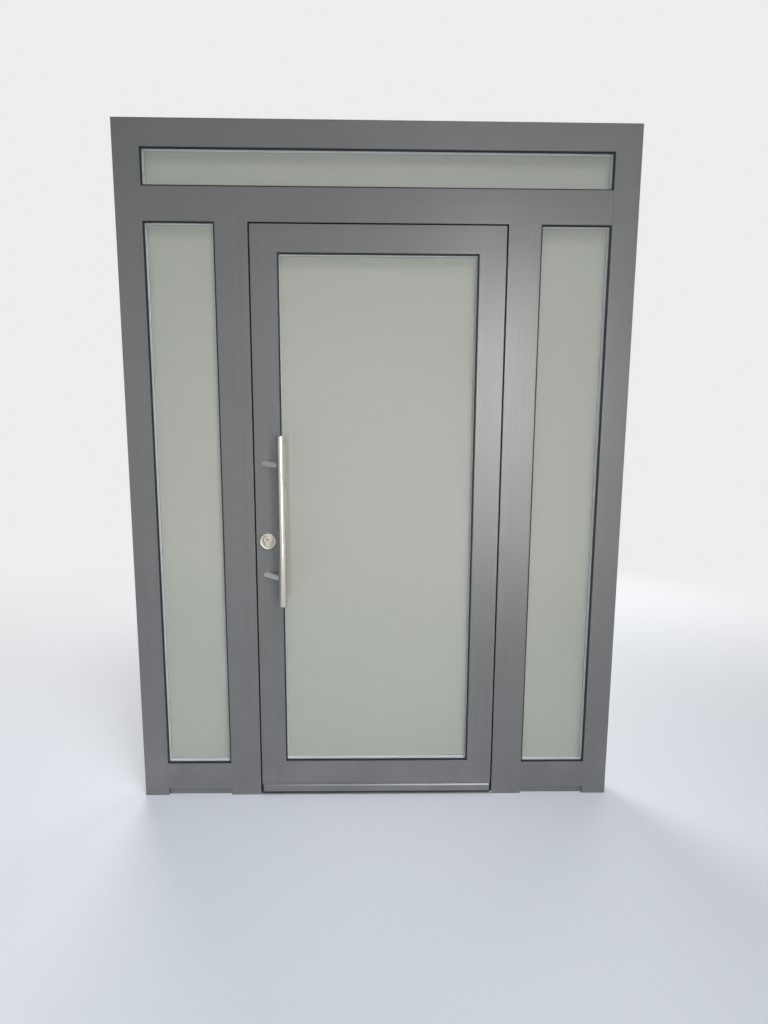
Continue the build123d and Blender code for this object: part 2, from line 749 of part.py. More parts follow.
with BuildPart() as pull_bar_standoffs:
    for height in standoff_heights:
        slant = Plane(origin=(standoff_x, y_face, height), z_dir=standoff_reach)
        with BuildSketch(slant.offset(-standoff_diameter)):
            Circle(standoff_diameter / 2)
        extrude(amount=standoff_reach.length + standoff_diameter)
    split(bisect_by=Plane(origin=(0, y_face, 0), z_dir=(0, -1, 0)), keep=Keep.TOP)
    with BuildSketch(Plane.XY.offset(bar_foot)):
        with Locations((pull_x, pull_y)):
            Circle(bar_diameter / 2)
    extrude(amount=bar_length, mode=Mode.SUBTRACT)
    for height in standoff_heights:
        drill(stud_diameter / 2, standoff_x, height, y_face, y_face + standoff_spigot, Mode.ADD)

# Hinges of the room side: a half on the leaf, a half on the frame, and the pin between them
hinge_x = leaf_half + lip_width + leaf_gap / 2
hinge_y = y_back + hinge_knuckle + hinge_stand_off
leaf_edge = leaf_half + lip_width
step_edge = opening_half + lip_width
leaf_share = hinge_length * hinge_knuckle_share
hinge_pitch = (leaf_top - leaf_foot - 2 * hinge_inset) / (hinge_count - 1)
hinge_heights = [leaf_foot + hinge_inset + hinge_pitch * i for i in range(hinge_count)]
knuckle_half = (leaf_share - hinge_clearance) / 2
sweep_radius = hinge_knuckle + hinge_clearance


def column(radius, z_low, z_high, mode=Mode.ADD):
    """A round bar on the hinge axis, or a hole for one."""
    with Locations((hinge_x, hinge_y, (z_low + z_high) / 2)):
        Cylinder(radius, z_high - z_low, mode=mode)


with BuildPart() as hinge_leaf_halves:
    for middle in hinge_heights:
        low, high = middle - hinge_length / 2, middle + hinge_length / 2
        block(leaf_edge - hinge_wing, leaf_edge, y_back, y_back + hinge_plate, low, high)
        for z_low, z_high in ((low, middle - leaf_share / 2), (middle + leaf_share / 2, high)):
            column(sweep_radius, z_low, z_high, Mode.SUBTRACT)
        block(leaf_edge - hinge_root, leaf_edge, y_back, hinge_y, middle - knuckle_half, middle + knuckle_half)
        column(hinge_knuckle, middle - knuckle_half, middle + knuckle_half)
        column(hinge_pin + running_clearance, low, high, Mode.SUBTRACT)

with BuildPart() as hinge_frame_halves:
    for middle in hinge_heights:
        low, high = middle - hinge_length / 2, middle + hinge_length / 2
        block(step_edge, step_edge + hinge_wing, y_back, y_back + hinge_plate, low, high)
        column(sweep_radius, middle - leaf_share / 2, middle + leaf_share / 2, Mode.SUBTRACT)
        for z_low, z_high in ((low, middle - leaf_share / 2), (middle + leaf_share / 2, high)):
            block(step_edge, step_edge + hinge_root, y_back, hinge_y, z_low, z_high)
            column(hinge_knuckle, z_low, z_high)
        column(hinge_pin, low, high, Mode.SUBTRACT)

with BuildPart() as hinge_pins:
    for middle in hinge_heights:
        low, high = middle - hinge_length / 2, middle + hinge_length / 2
        column(hinge_pin, low, high)
        for z_low, z_high in ((low - hinge_cap, low), (high, high + hinge_cap)):
            column(hinge_knuckle, z_low, z_high)
    rims = hinge_pins.edges().filter_by(GeomType.CIRCLE)
    chamfer(rims.filter_by(lambda rim: rim.radius == hinge_knuckle), edge_radius)

pieces = {
    "jamb_left": jamb_left, "jamb_right": jamb_right, "head_rail": head_rail,
    "mullion_left": mullion_left, "mullion_right": mullion_right, "door_head": door_head,
    "side_rail_left": side_rail_left, "side_rail_right": side_rail_right,
    "sill_rail_left": sill_rail_left, "sill_rail_right": sill_rail_right,
    "sill_base_left": sill_base_left, "sill_base_right": sill_base_right,
    "threshold": threshold, "frame_insulating_bars": frame_insulating_bars,
    "transom_outer_pane": transom_outer_pane, "transom_inner_pane": transom_inner_pane,
    "left_outer_pane": left_outer_pane, "left_inner_pane": left_inner_pane,
    "right_outer_pane": right_outer_pane, "right_inner_pane": right_inner_pane,
    "frame_glass_spacers": frame_glass_spacers, "frame_outer_gaskets": frame_outer_gaskets,
    "frame_inner_gaskets": frame_inner_gaskets, "transom_beads": transom_beads,
    "left_beads": left_beads, "right_beads": right_beads,
    "frame_setting_blocks": frame_setting_blocks, "frame_rebate_seal": frame_rebate_seal,
    "strike_plate": strike_plate, "hinge_frame_halves": hinge_frame_halves, "hinge_pins": hinge_pins,
    "lock_stile": lock_stile, "hinge_stile": hinge_stile, "top_rail": top_rail,
    "bottom_rail": bottom_rail, "leaf_insulating_bars": leaf_insulating_bars,
    "drip_rail": drip_rail, "bottom_seal": bottom_seal, "leaf_outer_pane": leaf_outer_pane,
    "leaf_inner_pane": leaf_inner_pane, "leaf_glass_spacer": leaf_glass_spacer,
    "leaf_outer_gasket": leaf_outer_gasket, "leaf_inner_gasket": leaf_inner_gasket,
    "leaf_beads": leaf_beads, "leaf_setting_blocks": leaf_setting_blocks, "lock_case": lock_case,
    "lock_faceplate": lock_faceplate, "cylinder_body": cylinder_body, "outer_rosette": outer_rosette,
    "inner_rosette": inner_rosette, "lever_rosette": lever_rosette, "pull_bar": pull_bar,
    "pull_bar_caps": pull_bar_caps, "pull_bar_standoffs": pull_bar_standoffs,
    "hinge_leaf_halves": hinge_leaf_halves, "lever_handle": lever_handle,
    "lever_spindle": lever_spindle, "latch_bolt": latch_bolt, "deadbolt": deadbolt,
    "cylinder_plug": cylinder_plug,
}

for label, piece in pieces.items():
    piece.part.label = label
    export_step(piece.part, f"parts/{label}.step")
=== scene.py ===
import math
import random

import bmesh
import bpy
from mathutils import Matrix, Vector


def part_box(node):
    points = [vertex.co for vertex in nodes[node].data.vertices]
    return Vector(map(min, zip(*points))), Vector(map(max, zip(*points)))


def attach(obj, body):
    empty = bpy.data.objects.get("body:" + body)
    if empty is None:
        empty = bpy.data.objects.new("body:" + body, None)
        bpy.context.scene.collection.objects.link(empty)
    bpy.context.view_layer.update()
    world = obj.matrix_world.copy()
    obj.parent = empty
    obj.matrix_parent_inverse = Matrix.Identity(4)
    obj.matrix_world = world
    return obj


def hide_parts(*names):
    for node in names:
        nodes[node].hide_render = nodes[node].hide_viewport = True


# A glazed entrance door in its own frame: a leaf between two side lights, with a light above.
# Metres, in the same frame as the solids: X across the door, Y into the house, Z up.
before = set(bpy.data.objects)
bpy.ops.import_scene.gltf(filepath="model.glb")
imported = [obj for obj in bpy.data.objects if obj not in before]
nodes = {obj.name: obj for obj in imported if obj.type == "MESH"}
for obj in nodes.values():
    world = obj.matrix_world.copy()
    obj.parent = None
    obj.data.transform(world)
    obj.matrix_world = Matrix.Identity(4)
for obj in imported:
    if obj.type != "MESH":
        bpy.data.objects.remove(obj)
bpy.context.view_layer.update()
print("loaded the door:", len(nodes), "nodes")


cameraPlace = {
    "eye": (-0.022, -2.435, 1.468),
    "turnedRight": 1.07,       # degrees
    "lookingDown": 9.02,
    "roll": 0.286,
    "lens": 24.0,              # mm, on a sensor 36 mm along the picture's long side
}

studio = {
    "paleTone": (0.84, 0.85, 0.86, 1.0),      # what the camera, gloss and glass see
    "ambientTone": (0.93, 0.95, 1.0, 1.0),    # what lights the surfaces
    "ambientStrength": 0.23,
    "streetSide": (0.42, -0.91, 0.0),         # gloss sees the studio bright on the street's side
    "roomSide": (0.0, 1.0, 0.0),              # and on the room's side
    "flankShade": 0.22,                       # and this much of it between them
    "flankBand": (0.1, 0.7),                  # how far a direction faces a side, dark to bright
    "overheadShade": 0.35,                    # this much of it overhead
    "overheadBand": (0.16, 0.5),              # how steep a direction is, bright to dark
    "floorTone": (0.84, 0.85, 0.87, 1.0),
    "floorRoughness": 0.7,
    "floorRadius": 14.0,
    "floorSides": 96,
    "floorFade": (1.6, 4.5),                  # from the door, floor to pale background
}

# streetKey is a narrow upright box: its gloss falls on the hinge side's bars, between the panes.
# A spread under 180 is a grid on the box: its light thins out away from where it aims.
# Gloss and glass see a box that shows.
softboxes = [
    {"name": "streetKey", "place": (1.085, -3.4, 1.3), "aim": (-0.1, 0.0, 0.95),
     "width": 0.44, "height": 2.3, "watts": 5.2, "tone": (1.0, 0.965, 0.92),
     "spread": 60, "shows": True},
    {"name": "streetSky", "place": (1.6, -4.2, 6.0), "aim": (-0.3, -0.3, 0.0),
     "width": 4.2, "height": 3.2, "watts": 31, "tone": (0.86, 0.92, 1.0),
     "spread": 50, "shows": True},
    {"name": "streetFill", "place": (0.45, -4.4, 1.2), "aim": (-0.2, 0.0, 0.9),
     "width": 1.6, "height": 1.8, "watts": 30, "tone": (0.84, 0.90, 1.0),
     "spread": 180, "shows": False},
    {"name": "streetLeft", "place": (-2.6, -3.6, 1.0), "aim": (-0.5, 0.0, 0.9),
     "width": 1.8, "height": 2.2, "watts": 28, "tone": (0.74, 0.85, 1.0),
     "spread": 180, "shows": False},
    {"name": "roomKey", "place": (-1.7, 3.9, 3.4), "aim": (0.0, 0.0, 1.2),
     "width": 2.6, "height": 2.2, "watts": 135, "tone": (1.0, 0.985, 0.96),
     "spread": 180, "shows": False},
    {"name": "roomFill", "place": (2.6, 3.8, 1.5), "aim": (0.0, 0.0, 1.1),
     "width": 2.2, "height": 1.8, "watts": 70, "tone": (0.95, 0.97, 1.0),
     "spread": 180, "shows": False},
]


def makeCamera():
    data = bpy.data.cameras.new("streetCamera")
    data.lens = cameraPlace["lens"]
    camera = bpy.data.objects.new("streetCamera", data)
    bpy.context.scene.collection.objects.link(camera)
    turn = Matrix.Rotation(-math.radians(cameraPlace["turnedRight"]), 4, "Z")
    tilt = Matrix.Rotation(math.radians(90 - cameraPlace["lookingDown"]), 4, "X")
    roll = Matrix.Rotation(math.radians(cameraPlace["roll"]), 4, "Z")
    camera.matrix_world = Matrix.Translation(cameraPlace["eye"]) @ turn @ tilt @ roll
    bpy.context.scene.camera = camera


def addNode(tree, kind, inputs=None, **settings):
    node = tree.nodes.new(kind)
    for name, value in settings.items():
        setattr(node, name, value)
    for name, value in (inputs or {}).items():
        node.inputs[name].default_value = value
    return node


def combine(tree, operation, first, second):
    node = addNode(tree, "ShaderNodeMath", operation=operation)
    tree.links.new(first, node.inputs[0])
    tree.links.new(second, node.inputs[1])
    return node.outputs[0]


def remap(tree, value, low, high, band=(0.3, 0.7), interpolation="LINEAR"):
    # value runs over the band, the result from low to high
    node = addNode(tree, "ShaderNodeMapRange",
                   {"From Min": band[0], "From Max": band[1], "To Min": low, "To Max": high},
                   interpolation_type=interpolation)
    tree.links.new(value, node.inputs["Value"])
    return node.outputs["Result"]


def mixShaders(tree, share, first, second):
    node = addNode(tree, "ShaderNodeMixShader")
    tree.links.new(share, node.inputs[0])
    tree.links.new(first.outputs[0], node.inputs[1])
    tree.links.new(second.outputs[0], node.inputs[2])
    return node.outputs[0]


def seesBackground(tree):
    # 1 for camera, glossy and transmission rays, 0 for the rays that light the surfaces
    path = addNode(tree, "ShaderNodeLightPath").outputs
    seen = combine(tree, "MAXIMUM", path["Is Camera Ray"], path["Is Glossy Ray"])
    return combine(tree, "MAXIMUM", seen, path["Is Transmission Ray"])


def studioGloss(tree, direction):
    # for gloss: 1 towards the street and the room, less to the flanks and overhead.
    # The camera sees 1
    towards = []
    for side in ("streetSide", "roomSide"):
        dot = addNode(tree, "ShaderNodeVectorMath", operation="DOT_PRODUCT")
        dot.inputs[1].default_value = studio[side]
        tree.links.new(direction, dot.inputs[0])
        towards.append(dot.outputs["Value"])
    parts = addNode(tree, "ShaderNodeSeparateXYZ")
    tree.links.new(direction, parts.inputs[0])
    facing = combine(tree, "MAXIMUM", *towards)
    flank = remap(tree, facing, studio["flankShade"], 1.0, studio["flankBand"], "SMOOTHSTEP")
    overhead = remap(tree, parts.outputs["Z"], 1.0, studio["overheadShade"],
                     studio["overheadBand"], "SMOOTHSTEP")
    path = addNode(tree, "ShaderNodeLightPath")
    return combine(tree, "MAXIMUM", combine(tree, "MULTIPLY", flank, overhead),
                   path.outputs["Is Camera Ray"])


def makeWorld():
    world = bpy.data.worlds.new("paleStudio")
    world.use_nodes = True
    tree = world.node_tree
    tree.nodes.clear()
    ambient = addNode(tree, "ShaderNodeBackground",
                      {"Color": studio["ambientTone"], "Strength": studio["ambientStrength"]})
    pale = addNode(tree, "ShaderNodeBackground", {"Color": studio["paleTone"]})
    coords = addNode(tree, "ShaderNodeTexCoord")
    tree.links.new(studioGloss(tree, coords.outputs["Generated"]), pale.inputs["Strength"])
    output = addNode(tree, "ShaderNodeOutputWorld")
    tree.links.new(mixShaders(tree, seesBackground(tree), ambient, pale), output.inputs["Surface"])
    bpy.context.scene.world = world


def makeFloor():
    mesh = bpy.data.meshes.new("studioFloor")
    form = bmesh.new()
    bmesh.ops.create_circle(form, cap_ends=True, segments=studio["floorSides"],
                            radius=studio["floorRadius"])
    form.to_mesh(mesh)
    form.free()
    floor = bpy.data.objects.new("studioFloor", mesh)
    bpy.context.scene.collection.objects.link(floor)
    material = bpy.data.materials.new("paleFloor")
    material.use_nodes = True
    tree = material.node_tree
    skin = tree.nodes["Principled BSDF"]
    skin.inputs["Base Color"].default_value = studio["floorTone"]
    skin.inputs["Roughness"].default_value = studio["floorRoughness"]
    # away from the door the floor turns into the pale background, and keeps the shadow near it
    coords = addNode(tree, "ShaderNodeTexCoord")
    reach = addNode(tree, "ShaderNodeVectorMath", operation="LENGTH")
    outward = addNode(tree, "ShaderNodeVectorMath", operation="NORMALIZE")
    glow = addNode(tree, "ShaderNodeEmission", {"Color": studio["paleTone"]})
    tree.links.new(coords.outputs["Object"], reach.inputs[0])
    tree.links.new(coords.outputs["Object"], outward.inputs[0])
    tree.links.new(studioGloss(tree, outward.outputs["Vector"]), glow.inputs["Strength"])
    fade = remap(tree, reach.outputs["Value"], 0.0, 1.0, studio["floorFade"], "SMOOTHSTEP")
    share = combine(tree, "MULTIPLY", fade, seesBackground(tree))
    surface = tree.nodes["Material Output"].inputs["Surface"]
    tree.links.new(mixShaders(tree, share, skin, glow), surface)
    mesh.materials.append(material)


def makeSoftboxes():
    for box in softboxes:
        data = bpy.data.lights.new(box["name"], "AREA")
        data.shape = "RECTANGLE"
        data.size = box["width"]
        data.size_y = box["height"]
        data.energy = box["watts"]
        data.color = box["tone"]
        data.spread = math.radians(box["spread"])
        lamp = bpy.data.objects.new(box["name"], data)
        bpy.context.scene.collection.objects.link(lamp)
        lamp.location = box["place"]
        lamp.rotation_mode = "QUATERNION"
        towards = Vector(box["aim"]) - Vector(box["place"])
        lamp.rotation_quaternion = towards.to_track_quat("-Z", "Y")
        lamp.visible_glossy = box["shows"]
        lamp.visible_transmission = box["shows"]


makeCamera()
makeWorld()
makeFloor()
makeSoftboxes()
bpy.context.scene.view_settings.view_transform = "Standard"
print("camera, floor and light are up")


coatLook = {
    "tone": (0.187, 0.185, 0.183),       # satin umber-grey coat on the aluminium bars
    "cloudTone": (0.173, 0.169, 0.165),  # its faint warm clouds
    "cloudScale": 2.2,
    "metallic": 0.45,
    "roughness": (0.30, 0.36),
    "grainScale": 900.0,
    "grainShade": (0.975, 1.025),        # of the tone
    "streakScale": 55.0,
    "streakShade": (0.97, 1.03),
    "stretch": 90.0,                     # how much longer than wide grain and streaks are
    "bumpDepth": 0.00010,
    "dustTone": (0.34, 0.335, 0.33),     # settled on the bars near the floor
    "dustTop": 0.30,
    "dustShare": 0.22,
    "dustScale": 9.0,
    "dustPatches": (0.35, 0.65),         # the noise from bare to dusty
}

clearLook = {"tint": (0.955, 0.975, 0.96), "passTint": (0.977, 0.987, 0.98), "ior": 1.5}

opalLook = {
    "tone": (0.400, 0.390, 0.326),
    "paleTone": (0.420, 0.408, 0.346),
    "cloudScale": 1.4,
    "roughness": 0.5,
    "transmission": 0.10,
    "coatRoughness": 0.03,
}

# dark: how deep the brush lines shade the tone; stretch: under 1 draws them out that way
metalLooks = {
    "brushedStainless": {
        "tone": (0.72, 0.675, 0.64), "dark": 0.955, "roughness": (0.13, 0.19), "metallic": 1.0,
        "scale": 2600.0, "stretch": (0.25, 0.25, 1), "bumpDepth": 0.000002},
    "turnedStainless": {
        "tone": (0.88, 0.86, 0.84), "dark": 0.95, "roughness": (0.27, 0.33), "metallic": 0.66,
        "scale": 1500.0, "stretch": (1, 1, 1), "bumpDepth": 0.000004},
    "satinNickel": {
        "tone": (0.84, 0.79, 0.70), "dark": 0.93, "roughness": (0.34, 0.42), "metallic": 0.8,
        "scale": 1800.0, "stretch": (1, 1, 1), "bumpDepth": 0.00002},
    # the rosette's dished ring: a duller finish, with its darker tone painted shade
    "dullShadedNickel": {
        "tone": (0.50, 0.465, 0.385), "dark": 0.90, "roughness": (0.38, 0.46), "metallic": 1.0,
        "scale": 1800.0, "stretch": (1, 1, 1), "bumpDepth": 0.00002},
    "cylinderNickel": {
        "tone": (0.74, 0.70, 0.57), "dark": 0.92, "roughness": (0.28, 0.36), "metallic": 1.0,
        "scale": 2200.0, "stretch": (0.05, 1, 1), "bumpDepth": 0.00002},
    "lockSteel": {
        "tone": (0.52, 0.51, 0.49), "dark": 0.82, "roughness": (0.24, 0.36), "metallic": 1.0,
        "scale": 1200.0, "stretch": (1, 1, 0.02), "bumpDepth": 0.00003},
    "thresholdAluminium": {
        "tone": (0.34, 0.33, 0.31), "dark": 0.66, "roughness": (0.36, 0.52), "metallic": 1.0,
        "scale": 420.0, "stretch": (0.02, 1, 1), "bumpDepth": 0.00008},
}

plainLooks = {
    # black rubber of the gaskets, seals, drip caps and brush, and the painted shade sheets at the
    # opening's foot
    "blackRubberAndShade": {
        "tone": (0.012, 0.012, 0.013), "other": (0.020, 0.020, 0.021),
        "roughness": (0.50, 0.66), "metallic": 0.0, "scale": 700.0, "bumpDepth": 0.00006},
    "breakPlastic": {
        "tone": (0.020, 0.020, 0.021), "other": (0.030, 0.030, 0.031),
        "roughness": (0.42, 0.55), "metallic": 0.0, "scale": 500.0, "bumpDepth": 0.00004},
    "blockPlastic": {
        "tone": (0.05, 0.06, 0.12), "other": (0.06, 0.07, 0.13),
        "roughness": (0.45, 0.55), "metallic": 0.0, "scale": 300.0, "bumpDepth": 0.00004},
    "spacerMetal": {
        "tone": (0.90, 0.92, 0.95), "other": (0.86, 0.885, 0.92),
        "roughness": (0.30, 0.38), "metallic": 0.3, "scale": 260.0, "bumpDepth": 0.00002},
    "sealLine": {
        "tone": (0.075, 0.088, 0.090), "other": (0.095, 0.105, 0.108),
        "roughness": (0.45, 0.55), "metallic": 0.0, "scale": 500.0, "bumpDepth": 0.00003},
    "paleSeam": {
        "tone": (0.27, 0.26, 0.265), "other": (0.24, 0.23, 0.235),
        "roughness": (0.40, 0.48), "metallic": 0.45, "scale": 800.0, "bumpDepth": 0.00002},
    # dark hairlines of the real joints and seams, and painted shade in the keyway's mouth and the
    # screws' sockets
    "darkJointsAndPaintedShade": {
        "tone": (0.018, 0.018, 0.020), "other": (0.028, 0.028, 0.030),
        "roughness": (0.70, 0.80), "metallic": 0.0, "scale": 800.0, "bumpDepth": 0.00002},
}


def opaque(tone):
    return (*tone, 1.0)


def newSkin(name):
    material = bpy.data.materials.new(name)
    material.use_nodes = True
    return material, material.node_tree, material.node_tree.nodes["Principled BSDF"]


def noiseField(tree, scale, stretch=(1, 1, 1), detail=3.0):
    coords = addNode(tree, "ShaderNodeTexCoord")
    mapping = addNode(tree, "ShaderNodeMapping", {"Scale": stretch})
    noise = addNode(tree, "ShaderNodeTexNoise", {"Scale": scale, "Detail": detail})
    tree.links.new(coords.outputs["Object"], mapping.inputs["Vector"])
    tree.links.new(mapping.outputs["Vector"], noise.inputs["Vector"])
    return noise.outputs["Fac"]


def blendTones(tree, factor, first, second, blend="MIX"):
    # each of the three is a value or another node's output
    node = addNode(tree, "ShaderNodeMix", data_type="RGBA", blend_type=blend)
    for socket, value in (("Factor_Float", factor), ("A_Color", first), ("B_Color", second)):
        target = next(s for s in node.inputs if s.identifier == socket)
        if hasattr(value, "links"):
            tree.links.new(value, target)
        else:
            target.default_value = value
    return next(s for s in node.outputs if s.identifier == "Result_Color")


def emboss(tree, skin, height, depth):
    bump = addNode(tree, "ShaderNodeBump", {"Strength": 1.0, "Distance": depth})
    tree.links.new(height, bump.inputs["Height"])
    tree.links.new(bump.outputs["Normal"], skin.inputs["Normal"])


def satinCoat(name, along):
    # along: 0 for rails, 2 for uprights; the die lines of the bar run that way
    material, tree, skin = newSkin(name)
    stretch = [1.0, 1.0, 1.0]
    stretch[along] = 1 / coatLook["stretch"]
    grain = noiseField(tree, coatLook["grainScale"], stretch)
    streaks = noiseField(tree, coatLook["streakScale"], stretch, detail=1.0)
    clouds = noiseField(tree, coatLook["cloudScale"], detail=4.0)
    tone = blendTones(tree, remap(tree, clouds, 0, 1), opaque(coatLook["tone"]),
                      opaque(coatLook["cloudTone"]))
    shade = combine(tree, "MULTIPLY", remap(tree, streaks, *coatLook["streakShade"]),
                    remap(tree, grain, *coatLook["grainShade"]))
    toned = blendTones(tree, 1.0, tone, shade, "MULTIPLY")
    # dust thins out upwards and lies in patches
    coords = addNode(tree, "ShaderNodeTexCoord")
    parts = addNode(tree, "ShaderNodeSeparateXYZ")
    tree.links.new(coords.outputs["Object"], parts.inputs[0])
    nearFloor = remap(tree, parts.outputs["Z"], coatLook["dustShare"], 0,
                      (0, coatLook["dustTop"]))
    patches = remap(tree, noiseField(tree, coatLook["dustScale"], detail=6.0), 0, 1,
                    coatLook["dustPatches"])
    dusty = blendTones(tree, combine(tree, "MULTIPLY", nearFloor, patches), toned,
                       opaque(coatLook["dustTone"]))
    tree.links.new(dusty, skin.inputs["Base Color"])
    skin.inputs["Metallic"].default_value = coatLook["metallic"]
    tree.links.new(remap(tree, grain, *coatLook["roughness"]), skin.inputs["Roughness"])
    emboss(tree, skin, grain, coatLook["bumpDepth"])
    return material


def clearGlass():
    material, tree, skin = newSkin("clearGlass")
    skin.inputs["Base Color"].default_value = opaque(clearLook["tint"])
    skin.inputs["Roughness"].default_value = 0.0
    skin.inputs["IOR"].default_value = clearLook["ior"]
    skin.inputs["Transmission Weight"].default_value = 1.0
    # lamps and bounced light pass straight through
    path = addNode(tree, "ShaderNodeLightPath").outputs
    passing = combine(tree, "MAXIMUM", path["Is Shadow Ray"], path["Is Diffuse Ray"])
    through = addNode(tree, "ShaderNodeBsdfTransparent", {"Color": opaque(clearLook["passTint"])})
    surface = tree.nodes["Material Output"].inputs["Surface"]
    tree.links.new(mixShaders(tree, passing, skin, through), surface)
    return material


def opalGlass():
    material, tree, skin = newSkin("opalGlass")
    clouds = noiseField(tree, opalLook["cloudScale"])
    tone = blendTones(tree, remap(tree, clouds, 0, 1), opaque(opalLook["tone"]),
                      opaque(opalLook["paleTone"]))
    tree.links.new(tone, skin.inputs["Base Color"])
    skin.inputs["Roughness"].default_value = opalLook["roughness"]
    skin.inputs["Transmission Weight"].default_value = opalLook["transmission"]
    skin.inputs["Coat Weight"].default_value = 1.0
    skin.inputs["Coat Roughness"].default_value = opalLook["coatRoughness"]
    return material


def finishSkin(tree, skin, look, pattern, tone):
    # what brushed metals and speckled skins share
    tree.links.new(tone, skin.inputs["Base Color"])
    skin.inputs["Metallic"].default_value = look["metallic"]
    tree.links.new(remap(tree, pattern, *look["roughness"]), skin.inputs["Roughness"])
    emboss(tree, skin, pattern, look["bumpDepth"])


def brushedMetal(name):
    look = metalLooks[name]
    material, tree, skin = newSkin(name)
    brush = noiseField(tree, look["scale"], look["stretch"])
    shade = remap(tree, brush, look["dark"], 1.0)
    finishSkin(tree, skin, look, brush,
               blendTones(tree, 1.0, opaque(look["tone"]), shade, "MULTIPLY"))
    return material


def speckledSkin(name):
    look = plainLooks[name]
    material, tree, skin = newSkin(name)
    speckle = noiseField(tree, look["scale"])
    finishSkin(tree, skin, look, speckle,
               blendTones(tree, remap(tree, speckle, 0, 1), opaque(look["tone"]),
                          opaque(look["other"])))
    return material


finishes = {
    "coatUpright": satinCoat("coatUpright", 2),
    "coatRail": satinCoat("coatRail", 0),
    "clearGlass": clearGlass(),
    "opalGlass": opalGlass(),
}
for metalName in metalLooks:
    finishes[metalName] = brushedMetal(metalName)
for plainName in plainLooks:
    finishes[plainName] = speckledSkin(plainName)

nodeFinishes = {
    "coatUpright": ["jamb_left", "jamb_right", "mullion_left", "mullion_right", "lock_stile",
                    "hinge_stile", "hinge_leaf_halves", "hinge_frame_halves", "hinge_pins"],
    "coatRail": ["head_rail", "door_head", "side_rail_left", "side_rail_right", "sill_rail_left",
                 "sill_rail_right", "sill_base_left", "sill_base_right", "top_rail",
                 "bottom_rail", "drip_rail", "transom_beads", "left_beads", "right_beads",
                 "leaf_beads"],
    "clearGlass": ["transom_outer_pane", "left_outer_pane", "right_outer_pane",
                   "leaf_outer_pane"],
    "opalGlass": ["transom_inner_pane", "left_inner_pane", "right_inner_pane",
                  "leaf_inner_pane"],
    "brushedStainless": ["pull_bar", "pull_bar_caps", "lever_handle"],
    "turnedStainless": ["pull_bar_standoffs"],
    "satinNickel": ["outer_rosette", "inner_rosette", "lever_rosette"],
    "cylinderNickel": ["cylinder_body", "cylinder_plug"],
    "lockSteel": ["lock_case", "lock_faceplate", "strike_plate", "latch_bolt", "deadbolt",
                  "lever_spindle"],
    "spacerMetal": ["frame_glass_spacers", "leaf_glass_spacer"],
    "thresholdAluminium": ["threshold"],
    "blackRubberAndShade": ["frame_outer_gaskets", "frame_inner_gaskets", "leaf_outer_gasket",
                    "leaf_inner_gasket", "frame_rebate_seal", "bottom_seal"],
    "breakPlastic": ["frame_insulating_bars", "leaf_insulating_bars"],
    "blockPlastic": ["frame_setting_blocks", "leaf_setting_blocks"],
}

for finish, names in nodeFinishes.items():
    for name in names:
        nodes[name].data.materials.clear()
        nodes[name].data.materials.append(finishes[finish])
print("finishes are on", sum(len(names) for names in nodeFinishes.values()), "nodes")


# sizes of the bars' section; the places below are read from the solids
bars = {
    "rebate": 0.020,           # from the street side's edge back to the room side's shell
    "glassBite": 0.012,        # how far a pane reaches behind the bar's edge
    "spacerShow": 0.006,       # what shows of the spacer past that edge
    "lip": 0.018,              # how far the leaf's room side reaches past its street side
}

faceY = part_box("jamb_left")[0][1]
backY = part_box("jamb_left")[1][1]
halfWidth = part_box("jamb_right")[1][0]
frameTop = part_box("head_rail")[1][2]
sillRailLow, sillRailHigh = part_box("sill_rail_right")
sideRailLow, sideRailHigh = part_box("side_rail_right")
mullionEdge = sillRailLow[0] + bars["rebate"]
jambEdge = sillRailHigh[0] - bars["rebate"]
headEdge = frameTop - (halfWidth - jambEdge)
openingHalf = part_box("threshold")[1][0]
openingTop = sideRailLow[2]
doorHeadTop = sideRailHigh[2]
bottomRailLow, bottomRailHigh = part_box("bottom_rail")
glassHalf = bottomRailHigh[0] - bars["rebate"]
leafHalf = -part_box("lock_faceplate")[0][0]
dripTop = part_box("drip_rail")[1][2]
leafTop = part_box("top_rail")[1][2] - bars["lip"]
glassTop = leafTop - (leafHalf - glassHalf)


def lightOf(pane):
    # left, right, foot and top of the opening that a pane fills, between the bars' visible edges
    low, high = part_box(pane)
    bite = bars["glassBite"]
    return low[0] + bite, high[0] - bite, low[2] + bite, high[2] - bite


def addPiece(name, form, finish, body, sharpAngle=35):
    bmesh.ops.recalc_face_normals(form, faces=form.faces)
    mesh = bpy.data.meshes.new(name)
    form.to_mesh(mesh)
    form.free()
    mesh.shade_smooth()
    mesh.set_sharp_from_angle(angle=math.radians(sharpAngle))
    mesh.materials.append(finishes[finish])
    piece = bpy.data.objects.new(name, mesh)
    bpy.context.scene.collection.objects.link(piece)
    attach(piece, body)
    return piece


def roundedBlock(form, low, high, radius, steps=2):
    made = bmesh.ops.create_cube(form, size=1.0)["verts"]
    low, high = Vector(low), Vector(high)
    for vert in made:
        vert.co = Vector([low[i] + (vert.co[i] + 0.5) * (high[i] - low[i]) for i in range(3)])
    edges = list({edge for vert in made for edge in vert.link_edges})
    bmesh.ops.bevel(form, geom=edges, offset=radius, segments=steps, profile=0.5,
                    affect="EDGES")


def skinRings(form, rings, closed=True):
    # faces between neighbouring rings of equal length
    for first, second in zip(rings, rings[1:]):
        count = len(first)
        for i in range(count if closed else count - 1):
            j = (i + 1) % count
            form.faces.new((first[i], first[j], second[j], second[i]))


# joints of the bars: pale hairlines where a bar butts on another, dark ones on the mitres
seams = {
    "butt": 0.0004,            # width
    "mitre": 0.00012,
    "proud": 0.00004,          # at the line's middle
    "edgeProud": 0.3,          # of that, at its edges
}


